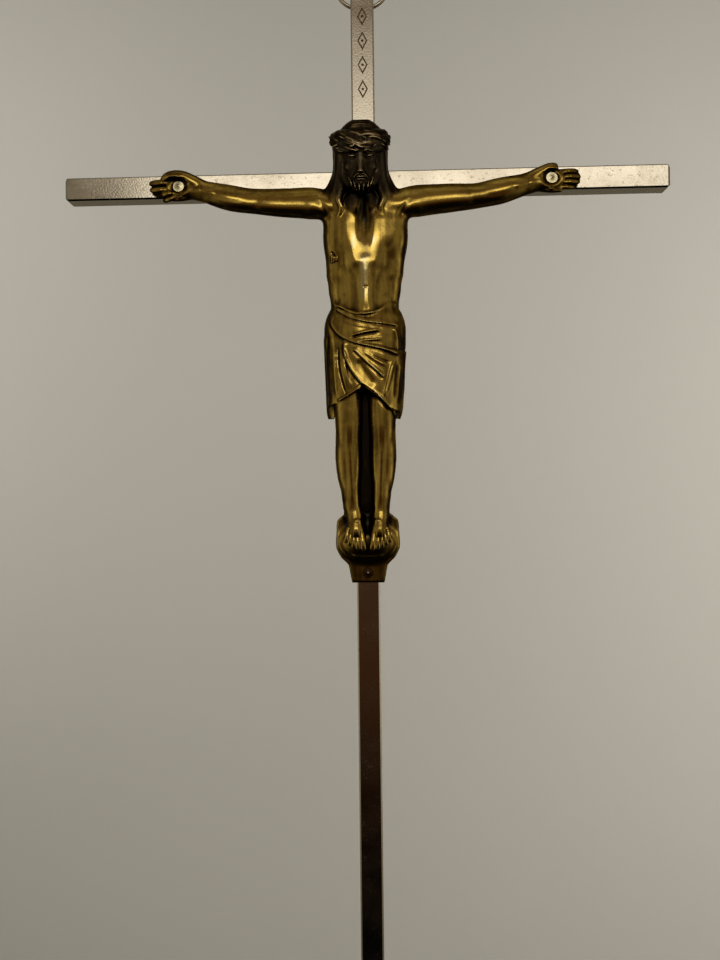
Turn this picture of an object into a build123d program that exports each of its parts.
from build123d import *
import os

# A slim wall crucifix: two half-lapped bars, a cast figure held by three rivets, and a ring to hang it by.
# Millimetres. +Z is up, +X is the viewer's right and the front faces -Y.
# The origin is on the crossbar's back face, at the middle of the crossing.

os.makedirs("parts", exist_ok=True)

# ---- driving dimensions ----

BAR_WIDTH = 6.35
BAR_DEPTH = 4.76
EDGE_CHAMFER = 0.4
END_BEVEL = 0.8

TOP_REACH = 70.6
UPRIGHT_LENGTH = 305.0
CROSSBAR_LENGTH = 166.8

MARK_COUNT = 4
MARK_PITCH = 6.65
MARK_MIDDLE_Z = 35.6
MARK_HEIGHT = 5.2
MARK_WIDTH = 2.8
MARK_STROKE = 0.42
MARK_DEPTH = 0.28
MARK_DOT_RADIUS = 0.36

SHANK_RADIUS = 0.8
HEAD_RADIUS = 1.5
HEAD_HEIGHT = 0.85
PEEN_RADIUS = 1.35
PEEN_DEPTH = 0.6
HAND_RIVET_X = 50.75
HAND_RIVET_Z = -0.9
FOOT_RIVET_Z = -107.1

LAP_PIN_RADIUS = 1.0
LAP_PIN_LENGTH = 4.0
FIT = 0.02

RING_RADIUS = 7.95
RING_WIRE_RADIUS = 0.55
HINGE_Y = 1.05
HINGE_Z = 67.15

STAPLE_WIRE_RADIUS = 0.5
STAPLE_HALF_SPAN = 1.35
STAPLE_STRAIGHT = 1.25
STAPLE_SEAT_DEPTH = 2.0

PALM_DEPTH = 2.3
TAB_DEPTH = 1.9

# ---- derived places ----

FRONT_Y = -BAR_DEPTH
FRONT_FACE = Plane.XZ.offset(BAR_DEPTH)
BACK_FACE_OUT = Plane(origin=(0, 0, 0), x_dir=(-1, 0, 0), z_dir=(0, 1, 0))
SIDES = (-1, 1)


# ---- figure proportions ----
# Each station is (place along the limb, middle across it, half width, relief in front of the bars).

TORSO = (
    (-0.5, -0.6, 3.4, 7.6),
    (-4.0, -0.2, 7.6, 7.8),
    (-9.0, 0.3, 11.0, 8.2),
    (-16.0, 0.4, 11.5, 8.6),
    (-22.0, 0.1, 10.8, 7.8),
    (-28.0, -0.2, 10.0, 6.6),
    (-35.0, -0.2, 10.6, 6.8),
    (-45.0, -0.2, 11.2, 7.6),
    (-54.0, -0.3, 10.0, 7.4),
)
LOINCLOTH = (
    (-33.0, -0.2, 10.4, 7.3),
    (-39.0, -0.2, 11.2, 8.2),
    (-45.0, -0.2, 11.6, 8.7),
    (-52.0, -0.4, 11.3, 8.7),
    (-60.5, -0.6, 10.0, 8.4),
)
LEG = (
    (-50.0, 4.7, 4.8, 8.0),
    (-60.0, 4.4, 4.0, 8.4),
    (-66.0, 4.2, 3.6, 8.2),
    (-75.0, 4.3, 3.2, 6.6),
    (-84.0, 3.9, 2.7, 5.6),
    (-91.5, 3.5, 2.3, 5.0),
)
FOOT = (
    (-89.5, 3.4, 2.2, 5.0),
    (-94.0, 3.9, 2.5, 7.6),
    (-98.5, 4.6, 3.0, 8.6),
    (-101.4, 4.9, 2.5, 7.6),
)
ARM = (
    (7.0, -7.7, 5.0, 7.0),
    (13.5, -6.6, 3.9, 6.2),
    (28.0, -5.7, 3.4, 5.6),
    (38.9, -4.0, 3.0, 4.6),
    (45.3, -2.1, 2.5, 3.4),
    (47.9, -1.5, 3.0, 2.7),
)
PALM = (
    (45.3, -1.8, 2.6, 3.0),
    (48.8, -1.2, 3.3, 2.7),
    (53.6, -1.0, 2.9, 2.3),
)

HEAD_MIDDLE = Vector(-0.9, FRONT_Y - 4.0, 5.9)
HEAD_HALF_WIDTH = 6.8
HEAD_HALF_HEIGHT = 8.8
BEARD_ROOT = Vector(-0.9, FRONT_Y - 7.4, 0.2)
BEARD_TIP = Vector(-0.9, FRONT_Y - 7.2, -3.4)
BEARD_ROOT_RADIUS = 3.2
BEARD_TIP_RADIUS = 2.2
CROWN_Z = 9.6
CROWN_RADIUS = 6.8
CROWN_WIRE_RADIUS = 1.7
TRESS_RADIUS = 2.3
TRESS_TOP = Vector(5.0, FRONT_Y - 4.4, 7.2)
TRESS_END = Vector(7.2, FRONT_Y - 4.4, -8.8)

FINGER_ROOT_X = 52.9
FINGER_TIP_X = 57.4
FINGER_RADIUS = 0.8
FINGER_ROOT_SPACING = 1.35
FINGER_TIP_SPACING = 1.5
THUMB_ROOT = Vector(48.3, FRONT_Y - 1.9, 1.3)
THUMB_TIP = Vector(52.8, FRONT_Y - 2.1, 2.5)

# Half of the footrest's outline, from its upper shoulder down to the end of its tab, as (half width, height).
FOOTREST_OUTLINE = (
    (6.2, -90.7),
    (8.0, -93.4),
    (8.6, -95.4),
    (8.6, -101.8),
    (7.5, -104.2),
    (5.5, -105.9),
    (4.5, -110.0),
)
WEB_HALF_WIDTH = 2.6
WEB_TOP_Z = -54.0
WEB_BOTTOM_Z = -92.0
WEB_DEPTH = 1.1

LEDGE_HALF_WIDTH = 7.4
LEDGE_TOP_Z = -94.0
LEDGE_FRONT_Z = -100.6
LEDGE_BOTTOM_Z = -103.0
LEDGE_RELIEF = 4.6


def bar_blank(bar, length, middle, upright):
    """Add a bar with bevelled ends and chamfered long edges to the open part, standing or lying."""
    across = (BAR_WIDTH, length) if upright else (length, BAR_WIDTH)
    place = (0, middle) if upright else (middle, 0)
    along = Axis.Z if upright else Axis.X
    with BuildSketch(Plane.XZ) as outline:
        with Locations(place):
            Rectangle(*across)
    extrude(outline.sketch, amount=BAR_DEPTH)
    chamfer(bar.faces().filter_by(along).edges(), END_BEVEL)
    chamfer(bar.edges().filter_by(along), EDGE_CHAMFER)


def limb(stations, plane_at, place_of):
    """Loft an oval limb through its stations. Its middle line lies on the bars' front face."""
    sections = []
    for along, across, half_width, relief in stations:
        with BuildSketch(plane_at(along)) as section:
            with Locations(place_of(across)):
                if plane_at is lying_plane:
                    Ellipse(relief, half_width)
                else:
                    Ellipse(half_width, relief)
        sections.append(section.sketch)
    loft(sections)


def standing_plane(height):
    """The level plane that a standing limb's station lies in."""
    return Plane.XY.offset(height)


def lying_plane(reach):
    """The upright plane, square to an arm, that one of its stations lies in."""
    return Plane.YZ.offset(reach)


def rod(start, end, start_radius, end_radius):
    """Add a tapered rod with a round tip to the open part."""
    with Locations(Plane(origin=start, z_dir=end - start)):
        Cone(
            start_radius,
            end_radius,
            (end - start).length,
            align=(Align.CENTER, Align.CENTER, Align.MIN),
        )
    with Locations(end):
        Sphere(end_radius)


def mirrored(point, side):
    """The same point on the left (-1) or the right (+1) of the figure."""
    return Vector(point.X * side, point.Y, point.Z)


# ---- the upright bar: half-lap in its back, four incised marks, seats for rivet, pin and staple ----

with BuildPart() as upright_bar:
    bar_blank(upright_bar, UPRIGHT_LENGTH, TOP_REACH - UPRIGHT_LENGTH / 2, upright=True)
    with BuildSketch(Plane.XZ):
        Rectangle(BAR_WIDTH, BAR_WIDTH)
    extrude(amount=BAR_DEPTH / 2, mode=Mode.SUBTRACT)
    with BuildSketch(FRONT_FACE):
        with Locations((0, MARK_MIDDLE_Z)):
            with GridLocations(0, MARK_PITCH, 1, MARK_COUNT):
                Polygon(
                    (0, MARK_HEIGHT / 2),
                    (MARK_WIDTH / 2, 0),
                    (0, -MARK_HEIGHT / 2),
                    (-MARK_WIDTH / 2, 0),
                )
                Polygon(
                    (0, MARK_HEIGHT / 2 - 2 * MARK_STROKE),
                    (MARK_WIDTH / 2 - MARK_STROKE, 0),
                    (0, -MARK_HEIGHT / 2 + 2 * MARK_STROKE),
                    (-MARK_WIDTH / 2 + MARK_STROKE, 0),
                    mode=Mode.SUBTRACT,
                )
                Circle(MARK_DOT_RADIUS)
    extrude(amount=-MARK_DEPTH, mode=Mode.SUBTRACT)
    with Locations(FRONT_FACE):
        Hole(LAP_PIN_RADIUS + FIT, depth=BAR_DEPTH)
    with Locations(BACK_FACE_OUT):
        with Locations((0, FOOT_RIVET_Z)):
            CounterSinkHole(SHANK_RADIUS + FIT, PEEN_RADIUS + FIT)
        with Locations((0, HINGE_Z - STAPLE_HALF_SPAN), (0, HINGE_Z + STAPLE_HALF_SPAN)):
            Hole(STAPLE_WIRE_RADIUS + FIT, depth=STAPLE_SEAT_DEPTH)
upright_bar.part.label = "upright_bar"
export_step(upright_bar.part, "parts/upright_bar.step")


# ---- the crossbar: half-lap in its front, seats for the hand rivets and a blind one for the pin ----

with BuildPart() as crossbar:
    bar_blank(crossbar, CROSSBAR_LENGTH, 0, upright=False)
    with BuildSketch(FRONT_FACE):
        Rectangle(BAR_WIDTH, BAR_WIDTH)
    extrude(amount=-BAR_DEPTH / 2, mode=Mode.SUBTRACT)
    with Locations(FRONT_FACE):
        Hole(LAP_PIN_RADIUS + FIT, depth=LAP_PIN_LENGTH)
    with Locations(BACK_FACE_OUT):
        with Locations((-HAND_RIVET_X, HAND_RIVET_Z), (HAND_RIVET_X, HAND_RIVET_Z)):
            CounterSinkHole(SHANK_RADIUS + FIT, PEEN_RADIUS + FIT)
crossbar.part.label = "crossbar"
export_step(crossbar.part, "parts/crossbar.step")


# ---- the pin that keeps the half-lap joint square, hidden under the figure ----

with BuildPart() as lap_joint_pin:
    with BuildSketch(FRONT_FACE):
        Circle(LAP_PIN_RADIUS)
    extrude(amount=-LAP_PIN_LENGTH + FIT)
    chamfer(lap_joint_pin.faces().sort_by(Axis.Y)[-1].edges(), LAP_PIN_RADIUS / 4)
lap_joint_pin.part.label = "lap_joint_pin"
export_step(lap_joint_pin.part, "parts/lap_joint_pin.step")


# ---- the cast figure, with its cloth, crown and footrest in one piece ----

with BuildPart() as corpus:
    limb(TORSO, standing_plane, lambda across: (across, FRONT_Y))
    limb(LOINCLOTH, standing_plane, lambda across: (across, FRONT_Y))
    for side in SIDES:
        limb(LEG, standing_plane, lambda across: (across * side, FRONT_Y))
        limb(FOOT, standing_plane, lambda across: (across * side, FRONT_Y))
        arm_stations = [(reach * side, z, half, relief) for reach, z, half, relief in ARM]
        palm_stations = [(reach * side, z, half, relief) for reach, z, half, relief in PALM]
        limb(arm_stations, lying_plane, lambda across: (FRONT_Y, across))
        limb(palm_stations, lying_plane, lambda across: (FRONT_Y, across))
        for step in (-1.5, -0.5, 0.5, 1.5):
            finger_y = FRONT_Y - PALM_DEPTH / 2
            root = Vector(FINGER_ROOT_X * side, finger_y, HAND_RIVET_Z + step * FINGER_ROOT_SPACING)
            tip = Vector(FINGER_TIP_X * side, finger_y, HAND_RIVET_Z + step * FINGER_TIP_SPACING)
            rod(root, tip, FINGER_RADIUS, FINGER_RADIUS * 0.8)
        rod(mirrored(THUMB_ROOT, side), mirrored(THUMB_TIP, side), FINGER_RADIUS * 1.3, FINGER_RADIUS)
        rod(mirrored(TRESS_TOP, side), mirrored(TRESS_END, side), TRESS_RADIUS, TRESS_RADIUS * 0.8)

    # head, with the beard as a point below it, and the crown as a ring round it
    with Locations(HEAD_MIDDLE):
        head = Sphere(HEAD_HALF_WIDTH, mode=Mode.PRIVATE)
    stretch = HEAD_HALF_HEIGHT / HEAD_HALF_WIDTH
    add(scale(head, by=(1, 1, stretch), mode=Mode.PRIVATE).translate((0, 0, HEAD_MIDDLE.Z * (1 - stretch))))
    rod(BEARD_ROOT, BEARD_TIP, BEARD_ROOT_RADIUS, BEARD_TIP_RADIUS)
    with Locations((HEAD_MIDDLE.X, HEAD_MIDDLE.Y, CROWN_Z)):
        Torus(CROWN_RADIUS, CROWN_WIRE_RADIUS)

    # thin web of casting that joins the legs behind
    with BuildSketch(FRONT_FACE):
        with Locations((0, (WEB_TOP_Z + WEB_BOTTOM_Z) / 2)):
            Rectangle(2 * WEB_HALF_WIDTH, WEB_TOP_Z - WEB_BOTTOM_Z)
    extrude(amount=WEB_DEPTH)

    # footrest plate, whose lower end is the tab that the rivet holds, and the ledge under the feet
    with BuildSketch(FRONT_FACE):
        with BuildLine():
            right_edge = [(half, height) for half, height in FOOTREST_OUTLINE]
            left_edge = [(-half, height) for half, height in reversed(FOOTREST_OUTLINE)]
            Polyline(*right_edge, *left_edge, close=True)
        make_face()
    extrude(amount=TAB_DEPTH)
    with BuildSketch(Plane.YZ.offset(-LEDGE_HALF_WIDTH)):
        with BuildLine():
            Polyline(
                (FRONT_Y, LEDGE_TOP_Z),
                (FRONT_Y - TAB_DEPTH, LEDGE_TOP_Z),
                (FRONT_Y - LEDGE_RELIEF, LEDGE_FRONT_Z),
                (FRONT_Y - LEDGE_RELIEF, LEDGE_BOTTOM_Z),
                (FRONT_Y, LEDGE_BOTTOM_Z),
                close=True,
            )
        make_face()
    extrude(amount=2 * LEDGE_HALF_WIDTH)

    # flat back on the bars, then a flat seat and a clearance hole for each rivet
    split(bisect_by=FRONT_FACE, keep=Keep.TOP)
    for seat_x, seat_z, seat_depth in (
        (-HAND_RIVET_X, HAND_RIVET_Z, PALM_DEPTH),
        (HAND_RIVET_X, HAND_RIVET_Z, PALM_DEPTH),
        (0, FOOT_RIVET_Z, TAB_DEPTH),
    ):
        with BuildSketch(FRONT_FACE.offset(seat_depth)):
            with Locations((seat_x, seat_z)):
                Circle(HEAD_RADIUS + 0.3)
        extrude(amount=BAR_DEPTH, mode=Mode.SUBTRACT)
        with Locations(FRONT_FACE.offset(seat_depth)):
            with Locations((seat_x, seat_z)):
                Hole(SHANK_RADIUS + FIT, depth=seat_depth)
corpus.part.label = "corpus"
export_step(corpus.part, "parts/corpus.step")


# ---- the three rivets: domed head in front, peened flush in the bar's back ----

def make_rivet(name, rivet_x, rivet_z, seat_depth):
    """A rivet that clamps a seat of this depth and one bar."""
    head_y = FRONT_Y - seat_depth
    dome_radius = (HEAD_RADIUS**2 + HEAD_HEIGHT**2) / (2 * HEAD_HEIGHT)
    with BuildPart() as rivet:
        with BuildSketch(Plane.XY):
            with BuildLine():
                head_rim = (HEAD_RADIUS, head_y)
                head_top = (0, head_y - HEAD_HEIGHT)
                RadiusArc(head_top, head_rim, dome_radius)
                Polyline(
                    head_rim,
                    (SHANK_RADIUS, head_y),
                    (SHANK_RADIUS, -PEEN_DEPTH),
                    (PEEN_RADIUS - FIT, 0),
                    (0, 0),
                    head_top,
                )
            make_face()
        revolve(axis=Axis.Y)
    placed = rivet.part.translate((rivet_x, 0, rivet_z))
    placed.label = name
    export_step(placed, f"parts/{name}.step")


make_rivet("hand_rivet_left", -HAND_RIVET_X, HAND_RIVET_Z, PALM_DEPTH)
make_rivet("hand_rivet_right", HAND_RIVET_X, HAND_RIVET_Z, PALM_DEPTH)
make_rivet("foot_rivet", 0, FOOT_RIVET_Z, TAB_DEPTH)


# ---- the staple that the ring swings in ----

with BuildPart() as ring_staple:
    with BuildLine(Plane.YZ) as staple_path:
        lower = Line(
            (-STAPLE_SEAT_DEPTH + FIT, HINGE_Z - STAPLE_HALF_SPAN),
            (STAPLE_STRAIGHT, HINGE_Z - STAPLE_HALF_SPAN),
        )
        bend = TangentArc(
            lower @ 1,
            (STAPLE_STRAIGHT, HINGE_Z + STAPLE_HALF_SPAN),
            tangent=lower % 1,
        )
        Line(bend @ 1, (-STAPLE_SEAT_DEPTH + FIT, HINGE_Z + STAPLE_HALF_SPAN))
    with BuildSketch(Plane(origin=lower @ 0, z_dir=lower % 0)):
        Circle(STAPLE_WIRE_RADIUS)
    sweep(path=staple_path.wires()[0])
ring_staple.part.label = "ring_staple"
export_step(ring_staple.part, "parts/ring_staple.step")


# ---- the hanging ring, stored hanging down behind the upright ----

with BuildPart() as hanging_ring:
    with Locations((0, HINGE_Y, HINGE_Z - RING_RADIUS)):
        Torus(RING_RADIUS, RING_WIRE_RADIUS, rotation=(90, 0, 0))
hanging_ring.part.label = "hanging_ring"
export_step(hanging_ring.part, "parts/hanging_ring.step")
